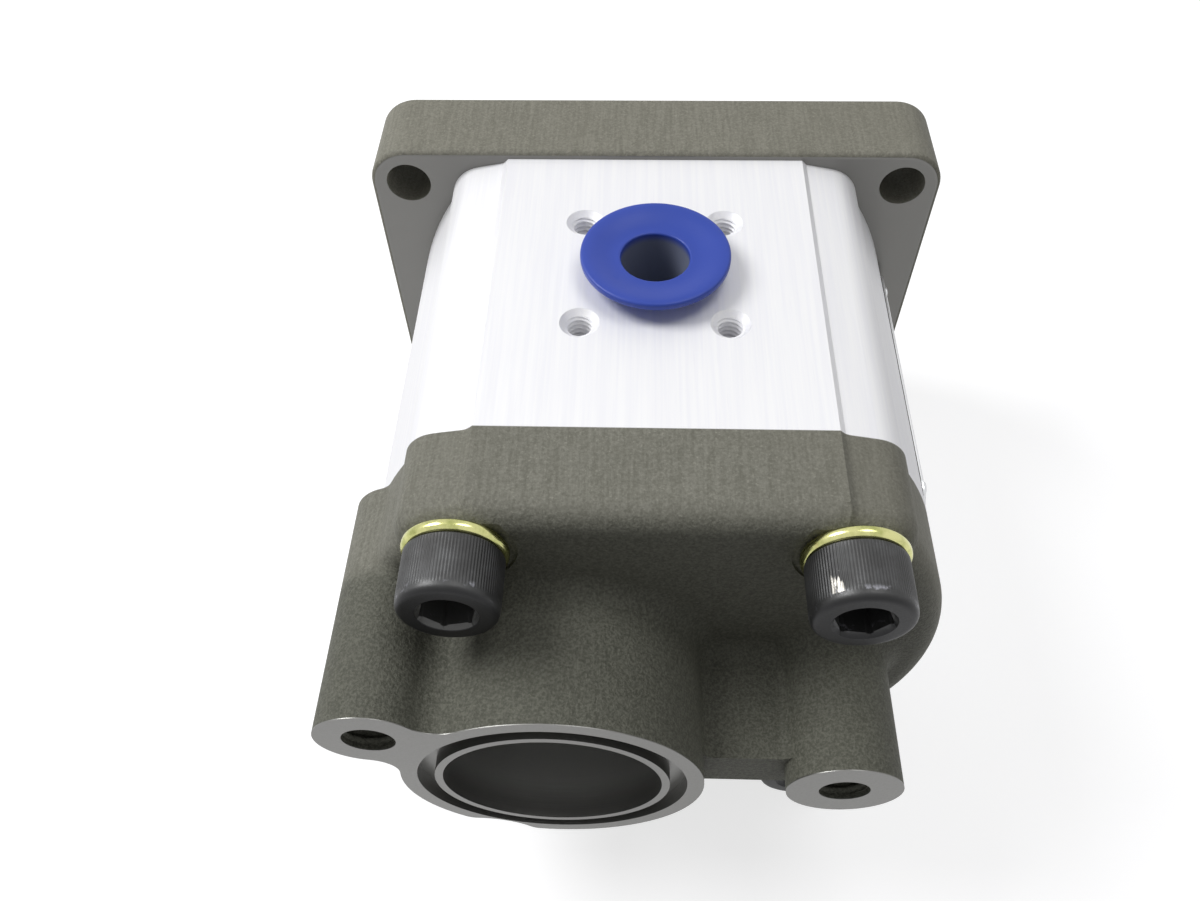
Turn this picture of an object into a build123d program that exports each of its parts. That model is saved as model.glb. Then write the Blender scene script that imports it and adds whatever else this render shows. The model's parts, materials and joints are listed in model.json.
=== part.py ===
from build123d import *
from math import acos, cos, hypot, pi, radians, sin, tan
import os

# External gear pump: an iron mounting flange, an extruded aluminium body and a cast iron rear
# cover, bolted together from the rear. Millimetres.
# Origin: the drive shaft's axis on the mounting face. +Y runs out along the shaft, +Z points to
# the pressure port, and the driven gear lies on the -X side of the drive gear.

# Gears
gear_teeth = 12
gear_module = 2.5
gear_pressure_angle = 20.0
gear_centres = 31.0
gear_tip_r = 18.3
gear_width = 28.0
gear_tip_gap = 0.05        # radial running gap between tooth tips and chamber
gear_root_gap = 0.4        # between a tooth tip and the other gear's root
gear_backlash = 0.16       # at the working circle, shared by both gears
flank_points = 5           # spans in each tooth flank's curve

# Shafts and bearings
journal_r = 9.0
journal_gap = 0.03         # radial running gap in the bushes
journal_end_gap = 1.0      # between a blind journal and the cover
bush_wall = 1.5
bush_inset = 0.5
block_gap = 0.03           # bearing block in the chamber
block_gear_gap = 0.03      # bearing block to gear side
block_cover_gap = 0.3      # bearing block to flange or cover
taper_start = 11.5         # from the mounting face
taper_r = 8.35
taper_length = 16.5
taper_ratio = 5.0
shaft_end = 40.5           # from the mounting face
shaft_thread_r = 6.0
shaft_chamfer = 1.0
key_width = 3.2
key_r = 6.5
key_height = 5.0
key_proud = 1.6
key_from_taper = 8.0
nut_across_flats = 19.0
nut_height = 7.0
nut_washer_r = 10.5
nut_washer_thickness = 2.5

# Mounting flange
flange_width = 115.5
flange_lip = 1.5           # stands above and below the body
flange_thickness = 18.5
flange_corner_r = 8.0
flange_edge_r = 1.2
flange_hole_r = 4.5
flange_hole_inset_x = 7.75 # from the flange's edges
flange_hole_inset_z = 7.5
pilot_r = 40.0
pilot_height = 5.0
pilot_chamfer = 1.0

# Shaft seal and its circlip
seal_r = 16.0
seal_width = 7.0
seal_lip_gap = 0.05
seal_shell = 1.2
seal_web = 1.6
seal_lip_wall = 2.0
seal_lip_height = 5.0
seal_lip_nose = 1.6
garter_r = 0.7
garter_inset = 0.5
circlip_thickness = 1.2
circlip_land = 1.0         # iron left in front of the circlip
circlip_bite = 1.0         # depth of its groove
circlip_band = 2.4
circlip_opening = 16.0
circlip_ear_r = 2.0
circlip_eye_r = 0.9
shaft_bore_gap = 0.6

# Body
body_length = 67.7
body_height = 84.0
pad_width = 58.2
pad_step = 1.0
corner_r = 7.2
corner_inset_x = 17.4      # centre of the bolt corners, from the body's sides
corner_inset_z = 9.1       # and from its pads
lobe_tuck = 0.4            # how far inside the bolt corners the side lobes spring
body_width = 102.6
suction_width = 24.0
suction_floor = 19.4       # below the gear axes
suction_roof = 7.0
suction_corner_r = 4.0

# Pressure port on the top pad
port_from_flange = 31.8
port_r = 7.5
port_bolt_pitch = 26.0
port_thread_r = 2.5
port_thread_depth = 13.0
port_thread_chamfer = 1.0

# Face seals between body and covers
face_seal_r = 20.6
face_seal_width = 2.5
face_seal_depth = 1.9
seat_gap = 0.02

# Pressure field seals in the bearing blocks
field_seal_r = 13.0
field_seal_width = 2.2
field_backup_width = 1.2
field_depth = 2.4
field_reach = 6.0          # how far the arms run below the gear axes
field_bridge_width = 5.0
field_bridge_height = 6.0
relief_width = 9.0
relief_height = 5.0
relief_depth = 1.5
relief_land = 3.6

# Rear cover
cover_thickness = 17.7
cover_edge_r = 4.5
cover_pad_blend = 3.0      # where the pads run into the corners
inlet_x = -16.2            # from the housing's centre line
inlet_z = -1.6
inlet_reach = 41.9         # from the body joint to the port face
inlet_r = 18.35
inlet_floor = 8.0          # iron left between inlet bore and body
inlet_throat_r = 11.0
inlet_throat_x = -11.0
inlet_throat_z = -8.0
neck_r = 25.4
seal_groove_inner_r = 19.7
seal_groove_outer_r = 22.6
seal_groove_depth = 2.6
lug_x = -43.9
lug_z = 15.9
lug_r = 8.7
lug_fillet = 5.0
post_x = 32.6
post_z = -1.9
post_r = 9.7
web_top = 1.3
web_bottom = -8.8
web_setback = 3.9
inlet_thread_r = 4.25
inlet_thread_depth = 18.0
web_fillet = 2.5
root_fillet = 3.5          # where the neck, web and post rise from the cover

# Cover bolts
bolt_shift_x = -3.1        # from the centres of the bolt corners
bolt_shift_z = 0.5
bolt_r = 5.0
bolt_hole_r = 5.4
bolt_head_r = 8.0
bolt_head_height = 10.0
bolt_head_chamfer = 0.8
bolt_socket = 8.0          # across flats
bolt_socket_depth = 5.5
bolt_engagement = 14.0
bolt_tip_room = 1.5
bolt_thread_gap = 0.05
washer_r = 9.05
washer_thickness = 2.2
washer_split = 1.4
washer_slant = 25.0        # degrees
spot_r = 9.6
spot_depth = 0.6
scallop_land = 0.4         # iron left between the bolt's scallop and the face groove
scallop_corner_r = 3.0

# Dowels
dowel_r = 2.5
dowel_inset = 6.7          # from the body's sides
dowel_depth = 6.0

# Plug in the pressure port
plug_rim_r = 13.3
plug_rim_thickness = 1.4
plug_rise = 4.6            # top of the rim above the pad
plug_stand_off = 1.4
plug_dish = 1.2
plug_stem_length = 11.0
plug_recess_r = 6.1
plug_floor = 1.2
plug_gap = 0.05

# Planes and places that follow from the sizes above
match_gap = 0.01           # how far off a plane an edge may be and still count
centre_x = -gear_centres / 2
flange_height = body_height + 2 * flange_lip
flange_hole_x = flange_width / 2 - flange_hole_inset_x
flange_hole_z = flange_height / 2 - flange_hole_inset_z
corner_x = body_width / 2 - corner_inset_x
corner_z = body_height / 2 - corner_inset_z
lobe_x = corner_x + corner_r - lobe_tuck
lobe_shift = (lobe_x**2 + corner_z**2 - (body_width / 2)**2) / (body_width - 2 * lobe_x)
lobe_r = body_width / 2 + lobe_shift
bolt_x = corner_x + bolt_shift_x
bolt_z = corner_z + bolt_shift_z
scallop_r = hypot(bolt_x + inlet_x, bolt_z + inlet_z) - seal_groove_outer_r - scallop_land
dowel_x = body_width / 2 - dowel_inset
axis_offset = gear_centres / 2
body_front = -flange_thickness
body_back = body_front - body_length
cover_face = body_back - cover_thickness
port_face = body_back - inlet_reach
spot_face = cover_face + spot_depth
gear_front = (body_front + body_back + gear_width) / 2
gear_back = gear_front - gear_width
chamber_r = gear_tip_r + gear_tip_gap
gear_root_r = gear_centres - gear_tip_r - gear_root_gap
block_r = chamber_r - block_gap
block_planes = {"front": (body_front - block_cover_gap, gear_front + block_gear_gap),
                "rear": (body_back + block_cover_gap, gear_back - block_gear_gap)}
bush_bore_r = journal_r + journal_gap
bush_r = bush_bore_r + bush_wall
circlip_front = pilot_height - circlip_land
circlip_back = circlip_front - circlip_thickness
seal_front = circlip_back - 2 * seat_gap
seal_back = seal_front - seal_width
taper_front = taper_start + taper_length
taper_end_r = taper_r - taper_length / taper_ratio / 2
nut_back = taper_front + nut_washer_thickness
pad_z = body_height / 2
port_y = body_front - port_from_flange
dowel_seat_r = dowel_r + seat_gap
bolt_head_back = spot_face - washer_thickness
bolt_tip = body_front + bolt_engagement
corners = [(sx, sz) for sz in (1, -1) for sx in (-1, 1)]
bolt_places = [(sx * bolt_x, sz * bolt_z) for sx, sz in corners]


def plane_at(y):
    # Section across the pump at y: local x and y are X and Z from the housing's centre line,
    # and its normal points to the rear.
    return Plane(origin=(centre_x, y, 0), x_dir=(1, 0, 0), z_dir=(0, -1, 0))


def slab(section, y1, y2):
    # The section carried along the pump's axis from one plane to the other.
    return extrude(plane_at(max(y1, y2)) * section, amount=abs(y1 - y2))


def rod(x, z, radius, y1, y2):
    return slab(Pos(x, z) * Circle(radius), y1, y2)


def upright(x, y, radius, low, high):
    # Round bar along Z, its x taken from the housing's centre line.
    return Pos(centre_x + x, y, (low + high) / 2) * Cylinder(radius, high - low)


def turned(profile, x=0):
    # Solid of revolution about a shaft axis from (radius, y) pairs.
    return Pos(x, 0, 0) * revolve(make_face(Polyline(*profile, close=True)), Axis.Y)


def at_plane(solid, y):
    # Edges that lie in the plane at y.
    def flat(edge):
        return abs(edge.center().Y - y) < match_gap and edge.bounding_box().size.Y < match_gap

    return solid.edges().filter_by(flat)


def stadium(radius):
    return SlotCenterToCenter(gear_centres, 2 * radius)


def figure_eight(radius):
    return Pos(-axis_offset, 0) * Circle(radius) + Pos(axis_offset, 0) * Circle(radius)


def ring(x, z, outer_r, inner_r):
    return Pos(x, z) * (Circle(outer_r) - Circle(inner_r))


def housing_outline():
    # Hull of the four bolt corners and the pads' shoulders, with the pads and the two side lobes,
    # arcs that reach the full width halfway up and spring from the corners.
    shoulder = Rectangle(pad_width + 2 * pad_step, body_height - 2 * pad_step)
    bolt_corners = [Pos(sx * corner_x, sz * corner_z) * Circle(corner_r) for sx, sz in corners]
    hull = make_hull((shoulder + bolt_corners).edges())
    lobes = Pos(-lobe_shift, 0) * Circle(lobe_r) & Pos(lobe_shift, 0) * Circle(lobe_r)
    lobes = lobes & Rectangle(body_width, 2 * corner_z)
    pads = chamfer(Rectangle(pad_width + 2 * pad_step, body_height).vertices(), pad_step)
    return hull + lobes + pads


def mounting_flange():
    plate = fillet(Rectangle(flange_width, flange_height).vertices(), flange_corner_r)
    flange = slab(plate, 0, body_front)
    flange = fillet(at_plane(flange, 0) + at_plane(flange, body_front), flange_edge_r)
    pilot = rod(axis_offset, 0, pilot_r, pilot_height, 0)
    flange += chamfer(at_plane(pilot, pilot_height), pilot_chamfer)
    for sx, sz in corners:
        flange -= rod(sx * flange_hole_x, sz * flange_hole_z, flange_hole_r, 0, body_front)
    flange -= rod(axis_offset, 0, seal_r + seat_gap, pilot_height, seal_back)
    flange -= rod(axis_offset, 0, seal_r + circlip_bite, circlip_front, circlip_back)
    flange -= rod(axis_offset, 0, journal_r + shaft_bore_gap, seal_back, body_front)
    for x, z in bolt_places:
        flange -= rod(x, z, bolt_r + bolt_thread_gap, bolt_tip + bolt_tip_room, body_front)
    for sx in (-1, 1):
        flange -= rod(sx * dowel_x, 0, dowel_seat_r, body_front + dowel_depth, body_front)
    return flange


def suction_pocket():
    pocket = Rectangle(suction_width, suction_floor - suction_roof)
    return Pos(0, -(suction_floor + suction_roof) / 2) * fillet(pocket.vertices(), suction_corner_r)


def pressure_port():
    # Port bore and its four tapped holes, cut down from the top pad.
    cut = upright(0, port_y, port_r, 0, pad_z)
    for sx, sy in corners:
        x = sx * port_bolt_pitch / 2
        y = port_y + sy * port_bolt_pitch / 2
        cut += upright(x, y, port_thread_r, pad_z - port_thread_depth, pad_z)
        mouth = Cone(port_thread_r, port_thread_r + port_thread_chamfer, port_thread_chamfer)
        cut += Pos(centre_x + x, y, pad_z - port_thread_chamfer / 2) * mouth
    return cut


def face_seal_section():
    return stadium(face_seal_r + face_seal_width) - stadium(face_seal_r)


def pump_body():
    body = slab(housing_outline(), body_front, body_back)
    body -= slab(figure_eight(chamber_r), body_front, body_back)
    body -= slab(suction_pocket(), gear_front, body_back)
    for x, z in bolt_places:
        body -= rod(x, z, bolt_hole_r, body_front, body_back)
    for joint, inward in ((body_front, -1), (body_back, 1)):
        body -= slab(face_seal_section(), joint, joint + inward * face_seal_depth)
        for sx in (-1, 1):
            body -= rod(sx * dowel_x, 0, dowel_seat_r, joint, joint + inward * dowel_depth)
    return body - pressure_port()


def neck_section():
    # Round inlet neck with its bolt lug, and a scallop that clears the bolt head beside it.
    neck = Pos(inlet_x, inlet_z) * Circle(neck_r) + Pos(lug_x, lug_z) * Circle(lug_r)
    neck = fillet(neck.vertices().sort_by(Axis.X)[:2], lug_fillet)
    scallop = Pos(-bolt_x, -bolt_z) * Circle(scallop_r)
    section = neck - scallop
    ends = section.vertices().sort_by_distance((-bolt_x, -bolt_z))[:2]
    return fillet(ends, scallop_corner_r)


def web_section(post):
    # The neck and the post, with the web that joins them and its hollow corners.
    web = Rectangle(post_x - inlet_x, web_top - web_bottom)
    web = Pos((inlet_x + post_x) / 2, (web_top + web_bottom) / 2) * web
    section = neck_section() + web + post

    def hollow(vertex):
        return min(abs(vertex.Y - web_top), abs(vertex.Y - web_bottom)) < match_gap

    return fillet(section.vertices().filter_by(hollow), web_fillet)


def cover_outline():
    # The body's outline, its pads blended into the corners as a casting has them.
    outline = housing_outline()
    shoulder_x, shoulder_z = pad_width / 2 + pad_step, body_height / 2 - pad_step

    def shoulder(vertex):
        return hypot(abs(vertex.X) - shoulder_x, abs(vertex.Y) - shoulder_z) < match_gap

    return fillet(outline.vertices().filter_by(shoulder), cover_pad_blend)


def rear_cover():
    cover = slab(cover_outline(), body_back, cover_face)
    cover = fillet(at_plane(cover, cover_face), cover_edge_r)
    post = Pos(post_x, post_z) * Circle(post_r)
    cover += slab(web_section(post), cover_face, port_face + web_setback)
    cover += slab(neck_section() + post, cover_face, port_face)
    root = (plane_at(cover_face) * web_section(post)).edges()

    def at_root(edge):
        return min((edge.center() - line.center()).length for line in root) < match_gap

    cover += slab(Pos(lug_x, lug_z) * Circle(lug_r), body_back, port_face)
    cover = fillet(cover.edges().filter_by(at_root), root_fillet)
    floor = body_back - inlet_floor
    cover -= rod(inlet_x, inlet_z, inlet_r, floor, port_face)
    throat = plane_at(floor) * Pos(inlet_throat_x, inlet_throat_z) * Circle(inlet_throat_r)
    cover -= loft([plane_at(body_back) * suction_pocket(), throat])
    groove = ring(inlet_x, inlet_z, seal_groove_outer_r, seal_groove_inner_r)
    cover -= slab(groove, port_face, port_face + seal_groove_depth)
    for x, z in ((lug_x, lug_z), (post_x, post_z)):
        cover -= rod(x, z, inlet_thread_r, port_face, port_face + inlet_thread_depth)
    for x, z in bolt_places:
        cover -= rod(x, z, bolt_hole_r, body_back, port_face)
        cover -= rod(x, z, spot_r, spot_face, port_face)
    for sx in (-1, 1):
        cover -= rod(sx * dowel_x, 0, dowel_seat_r, body_back, body_back - dowel_depth)
    return cover


def gear_section(first_tooth):
    # Involute spur gear, cut for the working circle that the centre distance sets. Below the base
    # circle the flanks run straight in to the root.
    base_r = gear_module * gear_teeth / 2 * cos(radians(gear_pressure_angle))
    working_r = gear_centres / 2
    pitch = 2 * pi / gear_teeth

    def involute(radius):
        angle = acos(base_r / radius)
        return tan(angle) - angle

    def half_tooth(radius):
        at_working = pitch / 4 - gear_backlash / working_r / 4
        return at_working + involute(working_r) - involute(radius)

    def polar(radius, angle):
        return (radius * cos(angle), radius * sin(angle))

    steps = [base_r + (gear_tip_r - base_r) * i / flank_points for i in range(flank_points + 1)]
    base_half, tip_half = half_tooth(base_r), half_tooth(gear_tip_r)

    def arc(radius, middle, half):
        return ThreePointArc(*[polar(radius, middle + turn) for turn in (-half, 0, half)])

    edges = []
    for tooth in range(gear_teeth):
        middle = first_tooth + tooth * pitch
        for side in (-1, 1):
            root = middle + side * base_half
            edges.append(Line(polar(gear_root_r, root), polar(base_r, root)))
            edges.append(Spline(*[polar(r, middle + side * half_tooth(r)) for r in steps]))
        edges.append(arc(gear_tip_r, middle, tip_half))
        edges.append(arc(gear_root_r, middle + pitch / 2, pitch / 2 - base_half))
    return make_face(edges)


def drive_gear_shaft():
    shaft = turned([(0, body_back + journal_end_gap), (journal_r, body_back + journal_end_gap),
                    (journal_r, taper_start), (taper_r, taper_start), (taper_end_r, taper_front),
                    (shaft_thread_r, taper_front), (shaft_thread_r, shaft_end - shaft_chamfer),
                    (shaft_thread_r - shaft_chamfer, shaft_end), (0, shaft_end)])
    shaft += slab(Pos(axis_offset, 0) * gear_section(0), gear_front, gear_back)
    return shaft - key_blank(seat_gap)


def driven_gear_shaft():
    ends = (body_back + journal_end_gap, body_front - journal_end_gap)
    shaft = rod(-axis_offset, 0, journal_r, *ends)
    return shaft + slab(Pos(-axis_offset, 0) * gear_section(pi / gear_teeth), gear_front, gear_back)


def key_blank(gap):
    # Disc that the half-moon key is cut from, and the cutter for its seat.
    y = taper_start + key_from_taper
    surface_r = taper_r - key_from_taper / taper_ratio / 2
    z = surface_r + key_proud - key_height + key_r
    return Pos(0, y, z) * Rot(0, 90, 0) * Cylinder(key_r + gap, key_width + 2 * gap)


def shaft_key():
    top = taper_r - key_from_taper / taper_ratio / 2 + key_proud
    trimmed = Box(2 * key_r, 2 * key_r, 2 * key_r)
    return key_blank(0) - Pos(0, taper_start + key_from_taper, top + key_r) * trimmed


def shaft_nut():
    hexagon = RegularPolygon(nut_across_flats / 2, 6, major_radius=False)
    section = Pos(axis_offset, 0) * (hexagon - Circle(shaft_thread_r + bolt_thread_gap))
    return slab(section, nut_back, nut_back + nut_height)


def split_washer(x, z, outer_r, inner_r, y1, y2, split):
    # Spring lock washer, its slanted split at the bottom.
    washer = slab(ring(x, z, outer_r, inner_r), y1, y2)
    blade = Box(split, 3 * abs(y1 - y2), outer_r)
    place = Pos(centre_x + x, (y1 + y2) / 2, z - (outer_r + inner_r) / 2)
    return washer - place * Rot(0, 0, washer_slant) * blade


def cover_bolt(x, z):
    head_face = bolt_head_back - bolt_head_height
    head = rod(x, z, bolt_head_r, bolt_head_back, head_face)
    head = chamfer(at_plane(head, head_face), bolt_head_chamfer)
    socket = Pos(x, z) * RegularPolygon(bolt_socket / 2, 6, major_radius=False)
    shank = rod(x, z, bolt_r, bolt_tip, bolt_head_back)
    return head + shank - slab(socket, head_face, head_face + bolt_socket_depth)


def field_section(inner_r, outer_r):
    # Open band that runs round both shafts on the pressure side and joins between them.
    band = ring(-axis_offset, 0, outer_r, inner_r) + ring(axis_offset, 0, outer_r, inner_r)
    height = block_r + field_reach
    width = 2 * (axis_offset + block_r)
    return band & Pos(0, (block_r - field_reach) / 2) * Rectangle(width, height)


def backup_section(gap):
    return field_section(field_seal_r - field_backup_width - gap, field_seal_r)


def field_seal_section(gap):
    bridge = Rectangle(field_bridge_width, field_bridge_height)
    inner = field_seal_r - gap
    outer = field_seal_r + field_seal_width + gap
    return field_section(inner, outer) + bridge - figure_eight(inner)


def bearing_block(side):
    # Pressure balanced block: seal groove on its cover side, relief pockets on its gear side.
    cover_side, gear_side = block_planes[side]
    inward = 1 if gear_side > cover_side else -1
    block = slab(figure_eight(block_r), cover_side, gear_side)
    for sx in (-1, 1):
        block -= rod(sx * axis_offset, 0, bush_r + seat_gap, cover_side, gear_side)
    groove = field_seal_section(seat_gap) + backup_section(seat_gap)
    block -= slab(groove, cover_side, cover_side + inward * field_depth)
    for sz in (-1, 1):
        pocket = Rectangle(relief_width, relief_height)
        pocket = Pos(0, sz * (relief_land + relief_height) / 2) * pocket
        block -= slab(pocket, gear_side, gear_side - inward * relief_depth)
    return block


def bush(side, sx):
    cover_side, gear_side = block_planes[side]
    inward = 1 if gear_side > cover_side else -1
    section = ring(sx * axis_offset, 0, bush_r, bush_bore_r)
    return slab(section, cover_side + inward * bush_inset, gear_side - inward * bush_inset)


def field_seal(side, section):
    # Stands out of its groove to the cover that it seals on.
    cover_side, gear_side = block_planes[side]
    inward = 1 if gear_side > cover_side else -1
    floor = cover_side + inward * (field_depth - seat_gap)
    return slab(section, cover_side - inward * block_cover_gap, floor)


def face_seal(joint, inward):
    section = stadium(face_seal_r + face_seal_width - seat_gap) - stadium(face_seal_r + seat_gap)
    return slab(section, joint, joint + inward * (face_seal_depth - seat_gap))


def shaft_seal():
    # Rubber covered case with a lip that faces the oil.
    lip_r = journal_r + seal_lip_gap
    lip_back = seal_front - seal_lip_height
    lip_top = lip_r + seal_lip_wall
    return turned([(seal_r, seal_back), (seal_r, seal_front), (lip_top, seal_front),
                   (lip_r, lip_back + seal_lip_nose), (lip_top - garter_inset, lip_back),
                   (lip_top, lip_back), (lip_top, seal_front - seal_web),
                   (seal_r - seal_shell, seal_front - seal_web), (seal_r - seal_shell, seal_back)])


def seal_spring():
    ring_r = journal_r + seal_lip_gap + seal_lip_wall + garter_r + seat_gap
    y = seal_front - seal_lip_height + seal_lip_nose
    return Pos(0, y, 0) * Rot(90, 0, 0) * Torus(ring_r, garter_r)


def seal_circlip():
    # Internal circlip with two eared ends at the bottom.
    outer = seal_r + circlip_bite - seat_gap
    band = Circle(outer) - Circle(outer - circlip_band)
    band -= Pos(0, -outer) * Rectangle(circlip_opening, 2 * circlip_band + circlip_opening / 2)
    end_z = -(outer**2 - (circlip_opening / 2)**2)**0.5
    for sx in (-1, 1):
        ear_x = sx * (circlip_opening + circlip_ear_r) / 2
        place = Pos(ear_x, end_z + circlip_ear_r + circlip_band / 2)
        band += place * Circle(circlip_ear_r)
        band -= place * Circle(circlip_eye_r)
    return slab(Pos(axis_offset, 0) * band, circlip_front - seat_gap, circlip_back + seat_gap)


def dowel(sx, joint):
    return rod(sx * dowel_x, 0, dowel_r, joint + dowel_depth - seat_gap, joint - dowel_depth + seat_gap)


def port_plug():
    # Moulded push-in plug: a hollow stem under a wide dished rim.
    stem_r = port_r - plug_gap
    low = pad_z - plug_stem_length
    top = pad_z + plug_rise
    profile = [(0, low), (stem_r, low), (stem_r, pad_z + plug_stand_off),
               (plug_rim_r, top - plug_rim_thickness), (plug_rim_r, top),
               (plug_recess_r, top - plug_dish), (plug_recess_r, low + plug_floor),
               (0, low + plug_floor)]
    face = make_face(Polyline(*[Plane.XZ.from_local_coords((r, z, 0)) for r, z in profile], close=True))
    return Pos(centre_x, port_y, 0) * revolve(face, Axis.Z)


os.makedirs("parts", exist_ok=True)


def save(name, solid):
    export_step(solid, f"parts/{name}.step")


save("mounting_flange", mounting_flange())
save("pump_body", pump_body())
save("rear_cover", rear_cover())
save("drive_gear_shaft", drive_gear_shaft())
save("driven_gear_shaft", driven_gear_shaft())
save("shaft_key", shaft_key())
save("shaft_nut", shaft_nut())
save("nut_washer", split_washer(axis_offset, 0, nut_washer_r, shaft_thread_r + bolt_thread_gap,
                                taper_front, nut_back, washer_split))
for side, joint, inward in (("front", body_front, -1), ("rear", body_back, 1)):
    save(f"bearing_block_{side}", bearing_block(side))
    save(f"bush_driven_{side}", bush(side, -1))
    save(f"bush_drive_{side}", bush(side, 1))
    save(f"field_seal_{side}", field_seal(side, field_seal_section(0)))
    save(f"field_backup_{side}", field_seal(side, backup_section(0)))
    save(f"face_seal_{side}", face_seal(joint, inward))
    save(f"dowel_left_{side}", dowel(-1, joint))
    save(f"dowel_right_{side}", dowel(1, joint))
save("shaft_seal", shaft_seal())
save("seal_spring", seal_spring())
save("seal_circlip", seal_circlip())
for number, (x, z) in enumerate(bolt_places, start=1):
    save(f"cover_bolt_{number}", cover_bolt(x, z))
    save(f"lock_washer_{number}", split_washer(x, z, washer_r, bolt_r + bolt_thread_gap,
                                               spot_face, bolt_head_back, washer_split))
save("port_plug", port_plug())
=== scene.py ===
import json
import math

import bmesh
import bpy
import numpy as np
from mathutils import Matrix, Vector


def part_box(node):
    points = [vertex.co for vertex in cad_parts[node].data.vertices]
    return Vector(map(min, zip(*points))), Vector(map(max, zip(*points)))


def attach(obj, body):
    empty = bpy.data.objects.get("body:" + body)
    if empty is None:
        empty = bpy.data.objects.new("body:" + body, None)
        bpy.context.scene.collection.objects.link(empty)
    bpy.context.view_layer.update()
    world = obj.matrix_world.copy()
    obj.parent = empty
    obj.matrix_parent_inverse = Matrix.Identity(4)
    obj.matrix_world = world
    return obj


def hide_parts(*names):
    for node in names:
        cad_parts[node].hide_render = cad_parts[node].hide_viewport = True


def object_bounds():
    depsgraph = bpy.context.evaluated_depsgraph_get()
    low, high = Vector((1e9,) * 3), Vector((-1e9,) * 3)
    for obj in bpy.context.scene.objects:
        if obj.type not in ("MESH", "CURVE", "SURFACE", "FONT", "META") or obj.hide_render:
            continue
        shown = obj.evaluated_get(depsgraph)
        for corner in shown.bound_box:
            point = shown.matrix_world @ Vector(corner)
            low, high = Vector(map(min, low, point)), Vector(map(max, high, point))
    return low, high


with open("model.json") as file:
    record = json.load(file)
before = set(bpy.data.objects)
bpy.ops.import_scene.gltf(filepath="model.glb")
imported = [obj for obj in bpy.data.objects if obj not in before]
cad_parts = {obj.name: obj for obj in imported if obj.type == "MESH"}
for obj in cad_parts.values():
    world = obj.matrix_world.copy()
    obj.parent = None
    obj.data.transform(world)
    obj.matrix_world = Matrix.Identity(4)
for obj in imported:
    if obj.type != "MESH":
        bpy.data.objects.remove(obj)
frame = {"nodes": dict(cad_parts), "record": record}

# Hydraulic gear pump. Every length in the dictionaries is in millimetres, in the frame of the
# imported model: +Y out along the drive shaft, +Z towards the pressure port.
mm = 0.001
mergeWithin = 0.001         # points of a piece that are nearer than this become one
sideRadius = 56.36          # of the body's rounded side, which carries the bare plate
nodes = frame["nodes"]
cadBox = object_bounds()
print("frame loaded:", len(nodes), "nodes")


def boxOf(node):
    low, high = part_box(node)
    return np.array(low) / mm, np.array(high) / mm


def gridFaces(rows, cols, wrapRows, wrapCols):
    # Quads between neighbouring rows and columns, closed round where a direction wraps.
    i = np.arange(rows if wrapRows else rows - 1)[:, None]
    j = np.arange(cols if wrapCols else cols - 1)[None, :]
    i2, j2 = (i + 1) % rows, (j + 1) % cols
    corners = [i * cols + j, i * cols + j2, i2 * cols + j2, i2 * cols + j]
    return np.stack(np.broadcast_arrays(*corners), -1).reshape(-1, 4)


def makePiece(name, grids, material, body, sharpAngle):
    # Each grid is (points of rows x cols x 3 in mm, wrapRows, wrapCols). Doubles are merged, so
    # poles and seams close, and the normals are worked out again afterwards.
    points, quads, first = [], [], 0
    for grid, wrapRows, wrapCols in grids:
        rows, cols = grid.shape[:2]
        quads.append(gridFaces(rows, cols, wrapRows, wrapCols) + first)
        points.append(grid.reshape(-1, 3) * mm)
        first += rows * cols
    points, quads = np.concatenate(points), np.concatenate(quads)
    mesh = bpy.data.meshes.new(name)
    mesh.vertices.add(len(points))
    mesh.vertices.foreach_set("co", points.astype(np.float32).ravel())
    mesh.loops.add(quads.size)
    mesh.loops.foreach_set("vertex_index", quads.astype(np.int32).ravel())
    mesh.polygons.add(len(quads))
    mesh.polygons.foreach_set("loop_start", np.arange(0, quads.size, 4, dtype=np.int32))
    mesh.update(calc_edges=True)
    shell = bmesh.new()
    shell.from_mesh(mesh)
    bmesh.ops.remove_doubles(shell, verts=shell.verts, dist=mergeWithin * mm)
    bmesh.ops.dissolve_degenerate(shell, edges=shell.edges, dist=mergeWithin / 2 * mm)
    bmesh.ops.recalc_face_normals(shell, faces=shell.faces)
    shell.to_mesh(mesh)
    shell.free()
    mesh.polygons.foreach_set("use_smooth", np.ones(len(mesh.polygons), bool))
    mesh.set_sharp_from_angle(angle=math.radians(sharpAngle))
    piece = bpy.data.objects.new(name, mesh)
    bpy.context.scene.collection.objects.link(piece)
    mesh.materials.append(material)
    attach(piece, body)
    return piece


def turnAround(count):
    return np.linspace(0, 2 * np.pi, count, endpoint=False)


def aroundY(radius, y, angle, x, z):
    # Point at this radius and angle about an axis along Y through (x, z).
    radius, y, angle = np.broadcast_arrays(radius, y, angle)
    return np.stack([x + radius * np.cos(angle), y, z + radius * np.sin(angle)], -1)


def aroundZ(radius, z, angle, x, y):
    # Point at this radius and angle about an axis along Z through (x, y).
    radius, z, angle = np.broadcast_arrays(radius, z, angle)
    return np.stack([x + radius * np.cos(angle), y + radius * np.sin(angle), z], -1)


def hexRadius(acrossFlats, angle):
    # Distance from the centre to a hexagon's side: half the width over the cosine of the angle
    # from the middle of the nearest side.
    fromSide = (angle + np.pi / 6) % (np.pi / 3) - np.pi / 6
    return acrossFlats / 2 / np.cos(fromSide)


def roundCorner(start, corner, end, steps=6):
    # Quadratic curve from start to end that leans on the corner, for a profile's rounded edge.
    t = np.linspace(0, 1, steps)[:, None]
    start, corner, end = (np.array(p, float) for p in (start, corner, end))
    return (1 - t) ** 2 * start + 2 * t * (1 - t) * corner + t ** 2 * end


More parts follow.
